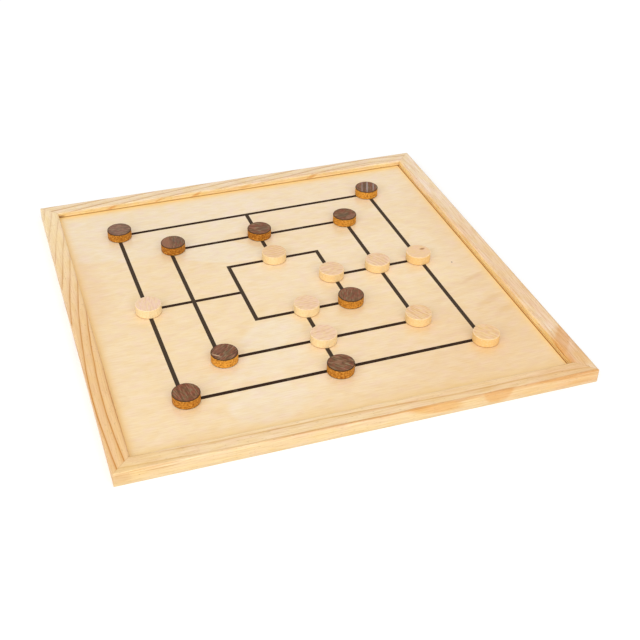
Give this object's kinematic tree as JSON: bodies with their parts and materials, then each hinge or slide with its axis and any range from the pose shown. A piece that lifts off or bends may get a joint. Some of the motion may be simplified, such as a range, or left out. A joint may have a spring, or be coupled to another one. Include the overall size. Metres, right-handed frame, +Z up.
{
  "type": "nine men's morris board",
  "caption": "Square framed wooden morris board: pine rails round a recessed plywood panel printed with nested squares, set with loose dark and light round counters.",
  "frame": {"origin": "under the middle of the board, on the surface that it rests on", "axes": "+X along the front rail, +Y from the front rail to the back rail, +Z up out of the playing face"},
  "size_m": [0.4, 0.4, 0.0166],
  "materials": {
    "pine": "planed and sanded pine, clear matt finish",
    "plywood": "sanded rotary-cut plywood, clear matt finish",
    "line_ink": "screen printed matt black ink",
    "nail_steel": "plain steel sheet",
    "dark_wood": "turned wood, dark walnut stain, satin",
    "light_wood": "turned wood, natural, clear satin lacquer"
  },
  "bodies": {
    "board": {"front_rail": "pine", "back_rail": "pine", "left_rail": "pine", "right_rail": "pine", "playing_panel": "plywood", "printed_lines": "line_ink", "corner_v_nails": "nail_steel"},
    "dark_counter_1": {"dark_counter_1": "dark_wood"},
    "dark_counter_2": {"dark_counter_2": "dark_wood"},
    "dark_counter_3": {"dark_counter_3": "dark_wood"},
    "dark_counter_4": {"dark_counter_4": "dark_wood"},
    "dark_counter_5": {"dark_counter_5": "dark_wood"},
    "dark_counter_6": {"dark_counter_6": "dark_wood"},
    "dark_counter_7": {"dark_counter_7": "dark_wood"},
    "dark_counter_8": {"dark_counter_8": "dark_wood"},
    "dark_counter_9": {"dark_counter_9": "dark_wood"},
    "light_counter_1": {"light_counter_1": "light_wood"},
    "light_counter_2": {"light_counter_2": "light_wood"},
    "light_counter_3": {"light_counter_3": "light_wood"},
    "light_counter_4": {"light_counter_4": "light_wood"},
    "light_counter_5": {"light_counter_5": "light_wood"},
    "light_counter_6": {"light_counter_6": "light_wood"},
    "light_counter_7": {"light_counter_7": "light_wood"},
    "light_counter_8": {"light_counter_8": "light_wood"},
    "light_counter_9": {"light_counter_9": "light_wood"}
  },
  "joints": [
    {"name": "dark_counter_1_lift", "type": "slide", "parent": "board", "child": "dark_counter_1", "axis": [0, 0, 1], "range_m": [0, 0.04]},
    {"name": "dark_counter_2_lift", "type": "slide", "parent": "board", "child": "dark_counter_2", "axis": [0, 0, 1], "range_m": [0, 0.04]},
    {"name": "dark_counter_3_lift", "type": "slide", "parent": "board", "child": "dark_counter_3", "axis": [0, 0, 1], "range_m": [0, 0.04]},
    {"name": "dark_counter_4_lift", "type": "slide", "parent": "board", "child": "dark_counter_4", "axis": [0, 0, 1], "range_m": [0, 0.04]},
    {"name": "dark_counter_5_lift", "type": "slide", "parent": "board", "child": "dark_counter_5", "axis": [0, 0, 1], "range_m": [0, 0.04]},
    {"name": "dark_counter_6_lift", "type": "slide", "parent": "board", "child": "dark_counter_6", "axis": [0, 0, 1], "range_m": [0, 0.04]},
    {"name": "dark_counter_7_lift", "type": "slide", "parent": "board", "child": "dark_counter_7", "axis": [0, 0, 1], "range_m": [0, 0.04]},
    {"name": "dark_counter_8_lift", "type": "slide", "parent": "board", "child": "dark_counter_8", "axis": [0, 0, 1], "range_m": [0, 0.04]},
    {"name": "dark_counter_9_lift", "type": "slide", "parent": "board", "child": "dark_counter_9", "axis": [0, 0, 1], "range_m": [0, 0.04]},
    {"name": "light_counter_1_lift", "type": "slide", "parent": "board", "child": "light_counter_1", "axis": [0, 0, 1], "range_m": [0, 0.04]},
    {"name": "light_counter_2_lift", "type": "slide", "parent": "board", "child": "light_counter_2", "axis": [0, 0, 1], "range_m": [0, 0.04]},
    {"name": "light_counter_3_lift", "type": "slide", "parent": "board", "child": "light_counter_3", "axis": [0, 0, 1], "range_m": [0, 0.04]},
    {"name": "light_counter_4_lift", "type": "slide", "parent": "board", "child": "light_counter_4", "axis": [0, 0, 1], "range_m": [0, 0.04]},
    {"name": "light_counter_5_lift", "type": "slide", "parent": "board", "child": "light_counter_5", "axis": [0, 0, 1], "range_m": [0, 0.04]},
    {"name": "light_counter_6_lift", "type": "slide", "parent": "board", "child": "light_counter_6", "axis": [0, 0, 1], "range_m": [0, 0.04]},
    {"name": "light_counter_7_lift", "type": "slide", "parent": "board", "child": "light_counter_7", "axis": [0, 0, 1], "range_m": [0, 0.04]},
    {"name": "light_counter_8_lift", "type": "slide", "parent": "board", "child": "light_counter_8", "axis": [0, 0, 1], "range_m": [0, 0.04]},
    {"name": "light_counter_9_lift", "type": "slide", "parent": "board", "child": "light_counter_9", "axis": [0, 0, 1], "range_m": [0, 0.04]}
  ]
}
